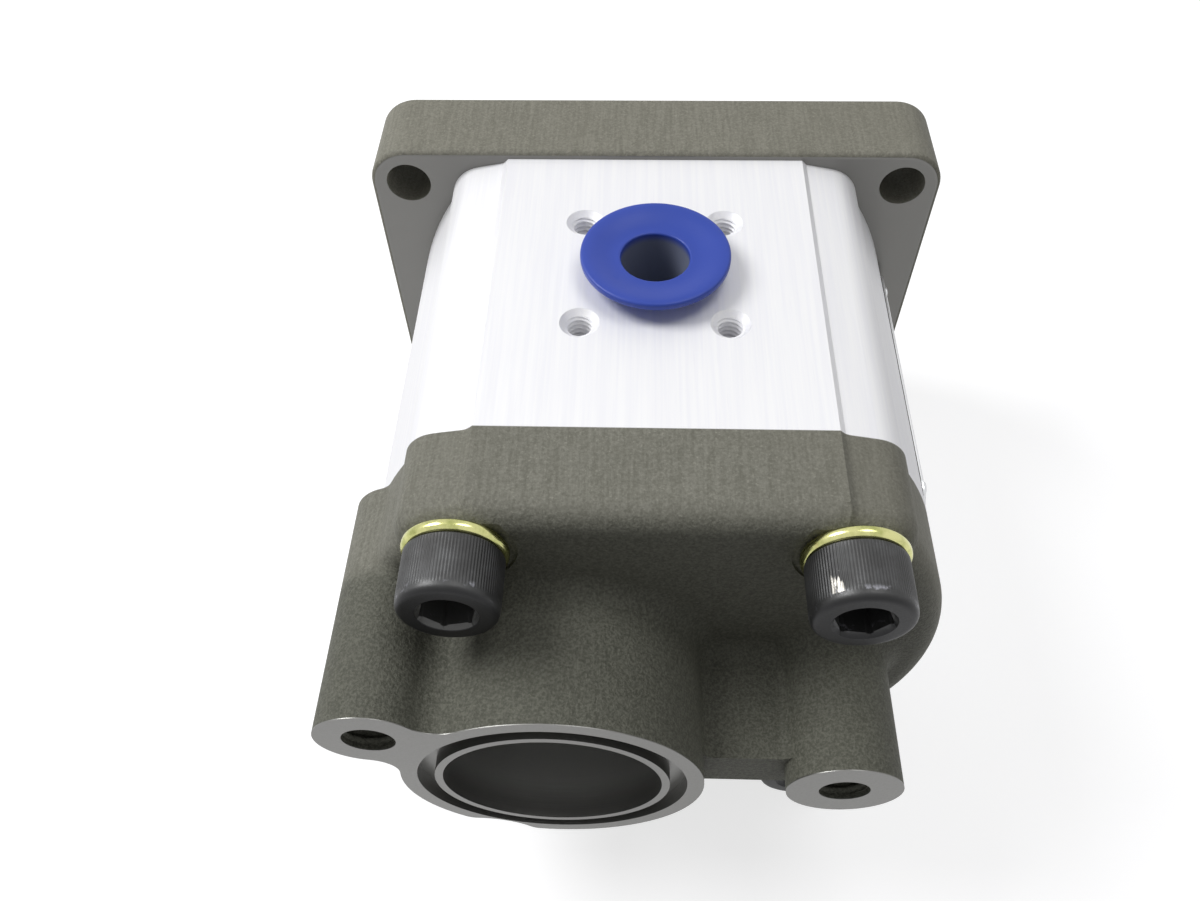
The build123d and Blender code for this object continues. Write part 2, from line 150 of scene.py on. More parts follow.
class Value:
    # A shader socket in a Python expression: + - * ** < > add Math nodes.
    def __init__(self, nodeTree, socket):
        self.nodeTree, self.socket = nodeTree, socket

    def math(self, operation, other, swap=False):
        pair = (other, self) if swap else (self, other)
        return self.nodeTree.node("ShaderNodeMath", {"operation": operation}, dict(enumerate(pair)))

    def __add__(self, other):
        return self.math("ADD", other)

    def __sub__(self, other):
        return self.math("SUBTRACT", other)

    def __rsub__(self, other):
        return self.math("SUBTRACT", other, swap=True)

    def __mul__(self, other):
        return self.math("MULTIPLY", other)

    def __pow__(self, other):
        return self.math("POWER", other)

    def __lt__(self, other):
        return self.math("LESS_THAN", other)

    def __gt__(self, other):
        return self.math("GREATER_THAN", other)

    __radd__ = __add__
    __rmul__ = __mul__

    def atLeast(self, other):
        return self.math("MAXIMUM", other)

    def ramp(self, low, high):
        # 0 below low, 1 above high and a smooth rise between them.
        return self.nodeTree.node("ShaderNodeMapRange", {"interpolation_type": "SMOOTHSTEP"},
                                  {0: self, 1: low, 2: high, 3: 0.0, 4: 1.0})

    def rampMm(self, low, high):
        # The same between two distances in mm.
        return self.ramp(low * mm, high * mm)


def blended(shares, *patterns):
    # Sum of the patterns, each times its share.
    total = patterns[0] * shares[0]
    for share, pattern in zip(shares[1:], patterns[1:]):
        total = total + pattern * share
    return total


class NodeTree:
    # Makes the nodes of a material or of the world.
    def __init__(self, tree):
        self.tree = tree

    def node(self, kind, settings=None, links=None, output=0):
        node = self.tree.nodes.new(kind)
        for key, value in (settings or {}).items():
            setattr(node, key, value)
        for key, value in (links or {}).items():
            if isinstance(value, Value):
                self.tree.links.new(value.socket, node.inputs[key])
            else:
                node.inputs[key].default_value = value
        return Value(self, node.outputs[output])

    def seenDirectly(self):
        # 1 for the rays that show a backdrop, 0 for the rays that carry its light.
        camera, glossy, clear = (self.node("ShaderNodeLightPath", output=f"Is {kind} Ray")
                                 for kind in ("Camera", "Glossy", "Transmission"))
        return camera.atLeast(glossy).atLeast(clear)


class Finish(NodeTree):
    # A Principled material whose patterns are worked out from Object coordinates in metres.
    def __init__(self, name, **constants):
        self.material = bpy.data.materials.new(name)
        self.material.use_nodes = True
        super().__init__(self.material.node_tree)
        self.shader = self.tree.nodes["Principled BSDF"]
        for socket, value in constants.items():
            self.shader.inputs[socket.replace("_", " ")].default_value = value
        self.place = self.node("ShaderNodeTexCoord", output="Object")
        self.split = self.node("ShaderNodeSeparateXYZ", links={0: self.place}).socket.node

    def axis(self, letter):
        return Value(self, self.split.outputs[letter])

    def noise(self, scale, detail=3.0, roughness=0.55, stretch=(1, 1, 1)):
        # Scale counts the features in a metre; stretch squeezes them along an axis.
        vector = self.node("ShaderNodeVectorMath", {"operation": "MULTIPLY"},
                           {0: self.place, 1: stretch})
        return self.node("ShaderNodeTexNoise", links={"Vector": vector, "Scale": scale,
                                                      "Detail": detail, "Roughness": roughness})

    def fromAxis(self, a, b, centreA, centreB):
        # Distance in metres from a line along the third axis.
        da, db = self.axis(a) - centreA * mm, self.axis(b) - centreB * mm
        return (da * da + db * db) ** 0.5

    def mix(self, mask, low, high):
        return self.node("ShaderNodeMix", {"data_type": "RGBA"}, {0: mask, 6: low, 7: high}, 2)

    def feed(self, **sockets):
        for socket, value in sockets.items():
            self.tree.links.new(value.socket, self.shader.inputs[socket.replace("_", " ")])
        return self

    def bump(self, height, depth):
        # Height runs from 0 to 1 and depth is its full swing in mm.
        normal = self.node("ShaderNodeBump", links={"Height": height, "Distance": depth * mm,
                                                    "Strength": 1.0}, output="Normal")
        return self.feed(Normal=normal)


def rgb(red, green, blue):
    return (red, green, blue, 1.0)


def castIron(name, values, machined):
    # Phosphated sand casting: fine grain over the mould's swell, faint streaks along the pump's
    # axis, coarser grain and a darker tone of painted shade in front of the cover, and smoother,
    # brighter metal on machined faces, brighter still as painted sheen behind the port face.
    finish = Finish(name, IOR=values["ior"], Specular_IOR_Level=values["specular"])
    fine = finish.noise(values["fine"], detail=3.0, roughness=0.7)
    swell = finish.noise(values["swell"], detail=4.0, roughness=0.6)
    streak = finish.noise(values["streaks"], detail=3.0, roughness=0.6, stretch=(1, 0.06, 1))
    lathe = finish.noise(values["lathe"], detail=2.0, roughness=0.5, stretch=(0.02, 1, 0.02))
    warm = finish.noise(values["warmScale"]).ramp(*values["warmFrom"])
    cut = machined(finish)
    rough = 1 - cut
    tones = blended(values["toneShares"], fine, streak, swell).ramp(*values["toneFrom"])
    tone = finish.mix(tones, values["dark"], values["light"])
    tone = finish.mix(fine.ramp(*values["glintFrom"]) * values["glintShare"], tone, values["glint"])
    tone = finish.mix(warm * values["warmShare"], tone, values["warm"])
    # Painted shade: in front of the cover the tone turns darker, standing in for the shade the
    # cover casts there; the grain there is also coarser.
    frontOfCover = 1 - finish.axis("Y").rampMm(*values["coverFrontFrom"])
    grain = blended(values["frontShadeShares"], fine, swell).ramp(*values["frontShadeFrom"])
    frontShadeTone = finish.mix(grain, values["frontShadeDark"], values["frontShadeLight"])
    tone = finish.mix(frontOfCover * values["frontShadeShare"], tone, frontShadeTone)
    # Painted sheen: machined faces behind the port face, inside the bore, get a brighter colour.
    inside = finish.axis("Y").rampMm(*values["sheenFrom"])
    tone = finish.mix(cut, tone, finish.mix(inside, values["cut"], values["cutSheen"]))
    finish.feed(Base_Color=tone, Metallic=cut * values["cutMetal"])
    swing = (fine - 0.5) * values["roughSwing"] - cut * values["cutSmoother"]
    finish.feed(Roughness=values["roughness"] + swing)
    deep = frontOfCover * (1 - values["plainDepth"]) + values["plainDepth"]
    height = blended(values["heightShares"], fine, swell) * rough * deep
    return finish.bump(height + lathe * values["latheShare"] * cut, values["grain"]).material


ironValues = {
    "ior": 1.5,
    "specular": 0.22,
    "dark": rgb(0.132, 0.130, 0.105),
    "light": rgb(0.220, 0.217, 0.184),
    "toneShares": (0.45, 0.30, 0.25),       # of fine, streaks and swell
    "toneFrom": (0.36, 0.64),
    "glint": rgb(0.33, 0.32, 0.27),
    "glintFrom": (0.60, 0.74),
    "glintShare": 0.55,
    "warm": rgb(0.178, 0.170, 0.136),
    "warmScale": 14.0,
    "warmFrom": (0.45, 0.75),
    "warmShare": 0.4,
    # painted shade in front of the cover, dark and light over its grain
    "frontShadeDark": rgb(0.058, 0.060, 0.046),
    "frontShadeLight": rgb(0.124, 0.126, 0.101),
    "frontShadeShares": (0.75, 0.25),             # of fine and swell
    "frontShadeFrom": (0.40, 0.62),
    "coverFrontFrom": (-105.0, -101.0),           # y where the painted shade and coarser grain give way
    "frontShadeShare": 0.80,
    "cut": rgb(0.190, 0.188, 0.179),
    "cutSheen": rgb(0.42, 0.42, 0.41),
    "sheenFrom": (-127.0, -121.0),         # y where cut faces turn bright with painted sheen
    "cutMetal": 0.85,
    "cutSmoother": 0.26,
    "roughness": 0.62,
    "roughSwing": 0.2,
    "fine": 2200.0,
    "swell": 1300.0,
    "streaks": 1500.0,
    "lathe": 2500.0,
    "heightShares": (0.4, 0.6),             # of fine and swell
    "latheShare": 0.05,
    "grain": 0.45,                          # depth, at the port's end
    "plainDepth": 0.4,                      # share of that depth elsewhere
}
cutSkin = {
    "portFace": 0.15,               # depth of metal that counts as the face
    "joint": 0.1,
    "bore": (-31.7, -1.6),          # x and z of the inlet's axis
    "boreRadius": 22.75,
    "boreFront": -94.0,             # y of the bore's deep end
}


def coverMachined(finish):
    # The port face, the inlet bore and the joint face.
    low, high = boxOf("rear_cover")
    portFace = finish.axis("Y") < (low[1] + cutSkin["portFace"]) * mm
    bore = finish.fromAxis("X", "Z", *cutSkin["bore"]) < cutSkin["boreRadius"] * mm
    bore = bore * (finish.axis("Y") < cutSkin["boreFront"] * mm)
    joint = finish.axis("Y") > (high[1] - cutSkin["joint"]) * mm
    return portFace.atLeast(bore).atLeast(joint)


def flangeMachined(finish):
    # The mounting face at y 0, the pilot in front of it and the joint face towards the body.
    back = boxOf("mounting_flange")[0][1]
    front = finish.axis("Y") > -cutSkin["joint"] * mm
    return front.atLeast(finish.axis("Y") < (back + cutSkin["joint"]) * mm)


coverIron = castIron("coverIron", ironValues, coverMachined)
flangeIron = castIron("flangeIron", {**ironValues, "cutSheen": ironValues["cut"],
                                     "dark": rgb(0.150, 0.146, 0.118),
                                     "light": rgb(0.236, 0.230, 0.192)}, flangeMachined)


def bareAluminium(name, values):
    # Extruded and milled aluminium: fine draw lines along the pump's axis, faint clouding and
    # scratches. A finish with a gap shadow is painted dark up to that height over the body's
    # rounded side: painted shadow of the gap between the plate's edge and the body.
    finish = Finish(name, Metallic=values["metallic"], IOR=values["ior"])
    lines = finish.noise(values["lines"], detail=3.0, roughness=0.6, stretch=(1, 0.02, 1))
    cloud = finish.noise(values["cloudScale"], detail=3.0, roughness=0.5)
    scratch = finish.noise(values["scratchScale"], detail=2.0, roughness=0.5, stretch=(1, 0.05, 1))
    tone = finish.mix(lines.ramp(*values["linesFrom"]), values["shade"], values["bright"])
    cloud = cloud.ramp(*values["cloudFrom"]) * values["cloudShare"]
    tone = finish.mix(cloud, tone, values["cloud"])
    scratch = scratch.ramp(*values["scratchFrom"]) * values["scratchShare"]
    tone = finish.mix(scratch, tone, values["scratch"])
    # Painted shadow: the plate's edge is dark next to the body, where the gap under it lies in
    # shade.
    if "gapShadow" in values:
        centreX = boxOf("pump_body")[1][0] - sideRadius
        under = finish.fromAxis("X", "Z", centreX, 0.0) < (sideRadius + values["gapShadow"]) * mm
        tone = finish.mix(under, tone, values["gapShadowTone"])
    swing = (lines - 0.5) * values["roughSwing"]
    finish.feed(Base_Color=tone, Roughness=values["roughness"] + swing)
    return finish.bump(lines, values["depth"]).material


aluminiumValues = {
    "ior": 1.45,
    "linesFrom": (0.3, 0.7),
    "cloudScale": 60.0,
    "cloudFrom": (0.5, 0.8),
    "cloudShare": 0.3,
    "scratchScale": 1800.0,
    "scratchFrom": (0.66, 0.74),
    "scratchShare": 0.18,
    "roughSwing": 0.2,
}
bodyAluminium = bareAluminium("bodyAluminium", {
    **aluminiumValues,
    "metallic": 0.25,
    "shade": rgb(0.82, 0.82, 0.85),
    "bright": rgb(0.86, 0.86, 0.87),
    "cloud": rgb(0.82, 0.82, 0.86),
    "scratch": rgb(0.76, 0.75, 0.80),
    "roughness": 0.52,
    "lines": 1400.0,
    "depth": 0.02,
})
blockAluminium = bareAluminium("blockAluminium", {
    **aluminiumValues,
    "metallic": 0.9,
    "shade": rgb(0.50, 0.51, 0.53),
    "bright": rgb(0.64, 0.65, 0.67),
    "cloud": rgb(0.55, 0.56, 0.58),
    "scratch": rgb(0.42, 0.42, 0.44),
    "roughness": 0.38,
    "lines": 900.0,
    "depth": 0.01,
})
plateAluminium = bareAluminium("plateAluminium", {
    **aluminiumValues,
    "metallic": 0.85,
    "shade": rgb(0.66, 0.67, 0.68),
    "bright": rgb(0.80, 0.81, 0.82),
    "cloud": rgb(0.70, 0.71, 0.72),
    "scratch": rgb(0.52, 0.52, 0.54),
    "roughness": 0.33,
    "lines": 2400.0,
    "depth": 0.01,
    "gapShadow": 0.35,                   # height of the painted shadow on the plate's edge, next to the body
    "gapShadowTone": rgb(0.02, 0.02, 0.02),
})


def steel(name, values):
    # Metal with a soft cloud of stain, fine grinding lines and small bright or dark marks.
    finish = Finish(name, Metallic=values["metallic"])
    cloud = finish.noise(values["cloudScale"], detail=4.0, roughness=0.6)
    grind = finish.noise(values["grindScale"], detail=2.0, roughness=0.6,
                         stretch=values["grindAlong"])
    mark = finish.noise(values["markScale"], detail=3.0, roughness=0.6).ramp(*values["markFrom"])
    tone = finish.mix(cloud.ramp(*values["stainFrom"]), values["base"], values["stain"])
    tone = finish.mix(mark * values["markShare"], tone, values["mark"])
    swing = (grind - 0.5) * values["grindSwing"] + (cloud - 0.5) * values["cloudSwing"]
    finish.feed(Base_Color=tone, Roughness=values["roughness"] + swing)
    height = blended(values["heightShares"], grind, cloud)
    return finish.bump(height, values["depth"]).material


steelValues = {
    "metallic": 1.0,
    "base": rgb(0.55, 0.55, 0.56),
    "stain": rgb(0.44, 0.44, 0.45),
    "stainFrom": (0.35, 0.7),
    "mark": rgb(0.25, 0.24, 0.23),
    "markShare": 0.4,
    "markScale": 500.0,
    "markFrom": (0.66, 0.74),
    "cloudScale": 120.0,
    "grindScale": 2500.0,
    "grindAlong": (1, 0.05, 1),
    "roughness": 0.30,
    "grindSwing": 0.16,
    "cloudSwing": 0.14,
    "heightShares": (0.7, 0.3),     # of the grinding lines and the cloud
    "depth": 0.008,
}
gearSteel = steel("gearSteel", {**steelValues, "grindAlong": (0.05, 1, 0.05)})
dowelSteel = steel("dowelSteel", {**steelValues, "roughness": 0.22})
smallSteel = steel("smallSteel", {**steelValues, "base": rgb(0.30, 0.30, 0.31),
                                  "stain": rgb(0.20, 0.20, 0.20), "roughness": 0.36})
nutZinc = steel("nutZinc", {**steelValues, "base": rgb(0.66, 0.67, 0.69),
                            "stain": rgb(0.55, 0.57, 0.62), "roughness": 0.28})
bushBronze = steel("bushBronze", {**steelValues, "base": rgb(0.56, 0.38, 0.19),
                                  "stain": rgb(0.44, 0.29, 0.15), "roughness": 0.38})
washerZinc = steel("washerZinc", {**steelValues, "base": rgb(0.66, 0.65, 0.30),
                                  "stain": rgb(0.38, 0.40, 0.14), "mark": rgb(0.45, 0.36, 0.16),
                                  "cloudScale": 350.0, "grindScale": 1800.0, "roughness": 0.20})


def blackOxide(name, values):
    # Black oxide on rolled steel: a soft cloud, a darker end face, a lighter colour in one head's
    # socket, worn spots round the rounded edge and a rubbed patch of bright chips on one side.
    finish = Finish(name, Metallic=values["metallic"])
    cloud = finish.noise(values["cloudScale"], detail=4.0, roughness=0.6)
    fine = finish.noise(values["fine"], detail=2.0, roughness=0.6)
    spots = finish.noise(values["wornScale"], detail=3.0, roughness=0.6)
    chips = finish.noise(values["chipScale"], detail=3.0, roughness=0.6, stretch=(1, 0.25, 1))
    endFace, y = boxOf("cover_bolt_1")[0][1], finish.axis("Y")

    def fromFace(low, high):
        # Rises from 0 to 1 between two depths behind the heads' end face.
        return y.rampMm(endFace + low, endFace + high)

    tone = finish.mix(cloud.ramp(*values["otherFrom"]), values["base"], values["other"])
    tone = finish.mix(1 - fromFace(*values["faceDepth"]), tone, values["face"])
    # A lighter colour inside one head's socket, below the end face.
    lighterSocket = finish.fromAxis("X", "Z", *values["lighterSocket"]) < values["lighterSocketRadius"] * mm
    lighterSocket = lighterSocket * (y > (endFace + values["lighterSocketDepth"]) * mm)
    tone = finish.mix(lighterSocket, tone, values["socketTone"])
    edge = fromFace(*values["edgeStart"]) - fromFace(*values["edgeEnd"])
    worn = spots.ramp(*values["wornFrom"]) * edge * values["wornShare"]
    tone = finish.mix(worn, tone, values["worn"])
    rubbed = 1 - finish.fromAxis("X", "Z", *values["rubbed"]).rampMm(*values["reach"])
    rubbed = rubbed * (y > values["rubbedY"][0] * mm) * (y < values["rubbedY"][1] * mm)
    chips = chips.ramp(*values["chipFrom"]) * rubbed
    tone = finish.mix(chips, tone, values["chip"])
    swing = (fine - 0.5) * values["roughSwing"] - chips * values["chipSmoother"]
    finish.feed(Base_Color=tone, Roughness=values["roughness"] + swing)
    return finish.bump(fine, values["depth"]).material


boltBlack = blackOxide("boltBlack", {
    "metallic": 0.7,
    "base": rgb(0.046, 0.046, 0.046),
    "other": rgb(0.066, 0.067, 0.068),
    "otherFrom": (0.35, 0.7),
    "cloudScale": 260.0,
    "fine": 3500.0,
    "face": rgb(0.026, 0.026, 0.027),
    "faceDepth": (0.1, 1.1),
    "socketTone": rgb(0.085, 0.085, 0.083),
    "lighterSocket": (-46.3, 33.4),       # x and z of the lighter socket
    "lighterSocketRadius": 5.2,
    "lighterSocketDepth": 0.1,
    "worn": rgb(0.26, 0.26, 0.29),
    "wornScale": 480.0,
    "wornFrom": (0.56, 0.66),
    "wornShare": 0.6,
    "edgeStart": (0.5, 1.0),        # depths where the worn band comes in
    "edgeEnd": (1.6, 2.4),          # and goes out
    "chip": rgb(0.75, 0.72, 0.66),
    "chipScale": 900.0,
    "chipFrom": (0.48, 0.56),
    "chipSmoother": 0.1,
    "rubbed": (10.6, 39.8),         # x and z of the patch
    "rubbedY": (-113.9, -110.4),
    "reach": (0.3, 1.3),
    "roughness": 0.44,
    "roughSwing": 0.2,
    "depth": 0.015,
})


def moulded(name, values):
    # Moulded polymer with a faint orange peel, slight shade changes and rubbed spots. A finish
    # with a deep tone has it painted in the plug's recess as the recess's shade, within one radius
    # and below one depth.
    finish = Finish(name, IOR=values["ior"])
    peel = finish.noise(values["peel"], detail=3.0, roughness=0.5)
    shade = finish.noise(values["shadeScale"], detail=3.0, roughness=0.5)
    rub = finish.noise(values["rubScale"], detail=4.0, roughness=0.6)
    tone = finish.mix(shade.ramp(*values["otherFrom"]), values["base"], values["other"])
    # Painted shade: a grey tone in the plug's recess.
    if "deep" in values:
        low, high = boxOf("port_plug")
        centre = (low + high) / 2
        outer = finish.fromAxis("X", "Y", centre[0], centre[1]).rampMm(*values["deepRadius"])
        near, far = values["deepBelow"]
        upper = finish.axis("Z").rampMm(high[2] - far, high[2] - near)
        tone = finish.mix((1 - outer) * (1 - upper), tone, values["deep"])
    swing = rub.ramp(*values["rubFrom"]) * values["rubShare"] + (peel - 0.5) * values["peelSwing"]
    finish.feed(Base_Color=tone, Roughness=values["roughness"] + swing)
    return finish.bump(peel, values["depth"]).material


mouldedValues = {
    "shadeScale": 45.0,
    "otherFrom": (0.35, 0.7),
    "rubScale": 260.0,
    "rubFrom": (0.62, 0.75),
    "rubShare": 0.14,
    "peelSwing": 0.08,
}
plugBlue = moulded("plugBlue", {
    **mouldedValues,
    "base": rgb(0.026, 0.060, 0.36),
    "other": rgb(0.036, 0.072, 0.40),
    # painted shade of the plug's recess
    "deep": rgb(0.17, 0.19, 0.26),
    "deepRadius": (6.15, 6.6),
    "deepBelow": (1.3, 3.4),        # depths under the plug's top
    "ior": 1.4,
    "peel": 900.0,
    "roughness": 0.40,
    "depth": 0.02,
})
sealRubber = moulded("sealRubber", {
    **mouldedValues,
    "base": rgb(0.014, 0.014, 0.015),
    "other": rgb(0.022, 0.022, 0.022),
    "ior": 1.45,
    "peel": 1500.0,
    "roughness": 0.55,
    "depth": 0.02,
})
backupPtfe = moulded("backupPtfe", {
    **mouldedValues,
    "base": rgb(0.78, 0.77, 0.73),
    "other": rgb(0.84, 0.83, 0.80),
    "ior": 1.36,
    "peel": 1200.0,
    "roughness": 0.48,
    "depth": 0.01,
})

finishOf = {
    "flange_iron": flangeIron,
    "cover_iron": coverIron,
    "body_aluminium": bodyAluminium,
    "block_aluminium": blockAluminium,
    "bush_bronze": bushBronze,
    "bolt_black": boltBlack,
    "washer_zinc": washerZinc,
    "dowel_steel": dowelSteel,
    "gear_steel": gearSteel,
    "small_steel": smallSteel,
    "nut_zinc": nutZinc,
    "seal_rubber": sealRubber,
    "backup_ptfe": backupPtfe,
    "plug_blue": plugBlue,
}
for part in frame["record"]["subparts"]:
    for place in nodes[part["node"]].material_slots:
        place.material = finishOf[part["material_slot"]]
print("finishes made:", len(finishOf))


# Cover bolts.
bolt = {
    "socketAcross": 8.0,
    "socketDepth": 5.5,
    "socketMouth": 4.9,
    "mouthBevel": (0.5, 0.6),           # across and deep
    "mouthDepth": 0.75,
    "drillStart": (0.80, 0.1),          # share of the hexagon, and depth below the floor
    "drillPoint": 1.3,
    "flutes": 100,
    "fluteDepth": 0.08,
    "flutePoints": 6,
    "fluteRows": 12,
    "fluteFrom": 0.15,                  # behind the rounded edge
    "fadeLong": (0.7, 0.4),             # of the flutes at either end
    "fadeShare": 0.25,                  # of the flute's depth where they have faded
    "topEdge": 1.4,
    "edgeRows": 9,
    "topDrop": 0.05,
    "backEdge": 0.35,
    "shank": 5.0,
    "tipBevel": (1.0, 1.2),
    "turn": (14.0, -22.0, 8.0, 31.0),   # degrees, one for each bolt
}


def socketScrew(number):
    # Cap screw about its own axis: a radius for each row and angle, where the socket's rows
    # follow the hexagon and the head's side is the head radius less a cosine flute.
    low, high = boxOf(f"cover_bolt_{number}")
    x, z = (low[0] + high[0]) / 2, (low[2] + high[2]) / 2
    face, tip, back = low[1], high[1], boxOf(f"lock_washer_{number}")[0][1]
    head, topEdge = (high[0] - low[0]) / 2, bolt["topEdge"]
    shank, mouth = bolt["shank"], bolt["socketMouth"]
    angle = turnAround(bolt["flutes"] * bolt["flutePoints"])
    hexagon = hexRadius(bolt["socketAcross"], angle + math.radians(bolt["turn"][number - 1]))
    flute = 0.5 - 0.5 * np.cos(bolt["flutes"] * angle)
    circle = np.ones_like(angle)
    floor = face + bolt["socketDepth"]
    drillShare, drillDepth = bolt["drillStart"]
    bevelAcross, bevelDepth = bolt["mouthBevel"]
    rows = [(0.0 * circle, floor + bolt["drillPoint"]), (hexagon * drillShare, floor + drillDepth),
            (hexagon, floor), (hexagon, face + bolt["mouthDepth"]),
            (np.maximum(hexagon, mouth - bevelAcross), face + bevelDepth), (mouth * circle, face)]
    side = head - bolt["topDrop"]
    edge = roundCorner((side - topEdge, face), (side, face), (side, face + topEdge),
                       bolt["edgeRows"])
    rows += [(radius * circle, y) for radius, y in edge]
    fluteEnd = back - bolt["backEdge"]
    fadeIn, fadeOut = bolt["fadeLong"]
    for y in np.linspace(face + topEdge + bolt["fluteFrom"], fluteEnd, bolt["fluteRows"]):
        ease = min(1.0, (y - face - topEdge) / fadeIn, (fluteEnd - y) / fadeOut)
        depth = bolt["fluteDepth"] * (flute * ease + bolt["fadeShare"] * (1 - ease))
        rows.append((head - depth, y))
    tipAcross, tipLong = bolt["tipBevel"]
    rows += [((head - bolt["backEdge"]) * circle, back), (shank * circle, back),
             (shank * circle, tip - tipLong), ((shank - tipAcross) * circle, tip),
             (0.0 * circle, tip)]
    radius = np.stack([row[0] for row in rows])
    y = np.array([row[1] for row in rows])[:, None]
    points = aroundY(radius, y, angle[None, :], x, z)
    screw = makePiece(f"cap_screw_{number}", [(points, False, True)], boltBlack,
                      "housing", sharpAngle=28.0)
    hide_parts(f"cover_bolt_{number}")


# Lock washers.
washer = {
    "inner": 5.1,
    "outer": 8.5,
    "split": 1.4,
    "slant": 25.0,          # degrees from the axis
    "square": 2.6,          # power of the section's superellipse
    "sectionPoints": 40,
    "turnPoints": 121,
}


def springWasher(number):
    # Superellipse section carried round the axis from one slanted end of the split to the other,
    # with a row at the section's centre to close each end.
    low, high = boxOf(f"lock_washer_{number}")
    x, z = (low[0] + high[0]) / 2, (low[2] + high[2]) / 2
    middle, half = (low[1] + high[1]) / 2, (high[1] - low[1]) / 2
    centre, wide = (washer["inner"] + washer["outer"]) / 2, (washer["outer"] - washer["inner"]) / 2
    around = turnAround(washer["sectionPoints"])
    power = 2 / washer["square"]
    across = np.sign(np.cos(around)) * np.abs(np.cos(around)) ** power
    along = np.sign(np.sin(around)) * np.abs(np.sin(around)) ** power
    radius = centre + wide * across
    y = middle + half * along
    skew = np.tan(math.radians(washer["slant"])) * half * along / centre
    gap = washer["split"] / 2 / centre
    steps = np.linspace(0, 1, washer["turnPoints"])[:, None]
    start, end = -np.pi / 2 + gap + skew, 3 * np.pi / 2 - gap + skew
    angle = start + (end - start) * steps
    sweep = aroundY(radius[None, :], y[None, :], angle, x, z)
    ends = [np.repeat(sweep[row].mean(0)[None, None, :], len(around), 1) for row in (0, -1)]
    points = np.concatenate([ends[0], sweep, ends[1]])
    ring = makePiece(f"spring_washer_{number}", [(points, False, True)], washerZinc,
                     "housing", sharpAngle=40.0)
    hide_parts(f"lock_washer_{number}")


for number in (1, 2, 3, 4):
    socketScrew(number)
    springWasher(number)
print("cover bolts and washers made")


# Shipping plug in the pressure port.
plug = {
    "rim": 13.3,
    "recess": 6.1,
    "stem": 7.45,
    "stemPlay": 0.05,
    "footLead": (0.9, 1.4),     # across and high, of the stem's rounded foot
    "standOff": 1.4,
    "shoulder": (1.2, 0.3),     # across and high, from the stem to the underside
    "edge": 0.55,
    "thickness": 1.5,
    "dish": 1.2,
    "dishPower": 0.8,
    "dishLand": (0.4, 0.5),     # flat rings left outside and inside the dish
    "floor": 1.2,
    "recessEdge": (0.45, 0.5),
    "floorCorner": (0.8, 0.8),
    "taper": 0.1,               # of the recess, from its mouth to its floor
    "ribs": 3,
    "ribHeight": 0.12,
    "ribEnds": (1.5, 0.5),      # plain lengths below and above the ribs
    "ribRows": 40,
    "dishRows": 14,
    "turnPoints": 160,
}


def portPlug():
    # Profile turned about the port's axis: ribbed stem, underside, rounded rim, dished top and
    # the open recess.
    low, high = boxOf("port_plug")
    x, y = (low[0] + high[0]) / 2, (low[1] + high[1]) / 2
    pad = boxOf("pump_body")[1][2]
    foot, top, under = low[2], high[2], high[2] - plug["thickness"]
    rim, edge, stem, inner = plug["rim"], plug["edge"], plug["stem"], plug["recess"]
    lip, floor, step = top - plug["dish"], low[2] + plug["floor"], pad + plug["standOff"]
    wall = stem - plug["stemPlay"]
    leadAcross, leadHigh = plug["footLead"]
    shoulderAcross, shoulderHigh = plug["shoulder"]
    outerLand, innerLand = plug["dishLand"]
    recessAcross, recessDeep = plug["recessEdge"]
    bottom = inner - plug["taper"]
    cornerHigh, cornerAcross = plug["floorCorner"]
    stemZ = np.linspace(foot + plug["ribEnds"][0], pad - plug["ribEnds"][1], plug["ribRows"])
    turns = plug["ribs"] * 2 * np.pi * (stemZ - stemZ[0]) / (stemZ[-1] - stemZ[0])
    ribs = np.stack([wall - plug["ribHeight"] * (0.5 - 0.5 * np.cos(turns)), stemZ], -1)
    t = np.linspace(0, 1, plug["dishRows"])[:, None]
    fall = plug["dish"] * (0.5 - 0.5 * np.cos(np.pi * t)) ** plug["dishPower"]
    dishOut, dishIn = rim - edge - outerLand, inner + innerLand
    dished = np.concatenate([dishOut - t * (dishOut - dishIn), top - fall], -1)
    profile = np.concatenate([
        [(0, foot), (stem - leadAcross - 0.3, foot)],
        roundCorner((stem - leadAcross, foot), (stem - 0.1, foot), (wall, foot + leadHigh)),
        ribs,
        roundCorner((stem, pad + 0.2), (stem, step), (stem + shoulderAcross, step + shoulderHigh)),
        roundCorner((rim - edge, under + 0.05), (rim, under + 0.1), (rim, under + edge)),
        roundCorner((rim, top - edge), (rim, top), (rim - edge, top)),
        dished,
        roundCorner((inner + recessAcross, lip), (inner, lip), (inner, lip - recessDeep)),
        roundCorner((bottom, floor + cornerHigh), (bottom, floor), (bottom - cornerAcross, floor)),
        [(0, floor)],
    ])
    angle = turnAround(plug["turnPoints"])
    points = aroundZ(profile[:, :1], profile[:, 1:], angle[None, :], x, y)
    piece = makePiece("port_cap", [(points, False, True)], plugBlue, "plug",
                      sharpAngle=50.0)
    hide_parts("port_plug")


portPlug()
print("plug made")


# Threads of the tapped holes and of the shaft's end.
thread = {
    "rowsPerTurn": 8,
    "flank": 1.5,               # steepness, and how much of the root and crest is flat
    "flat": 0.25,
    "holePoints": 48,
    "shaftPoints": 72,
    "play": 0.02,               # between a hole's wall and the thread's root
    "backing": 0.005,           # between a hole's wall and the lining's outside
}


def threadRows(start, end, pitch):
    # Places along the axis, the same number to each turn of the thread.
    turns = abs(end - start) / pitch
    return np.linspace(start, end, int(turns * thread["rowsPerTurn"]) + 1)[:, None]


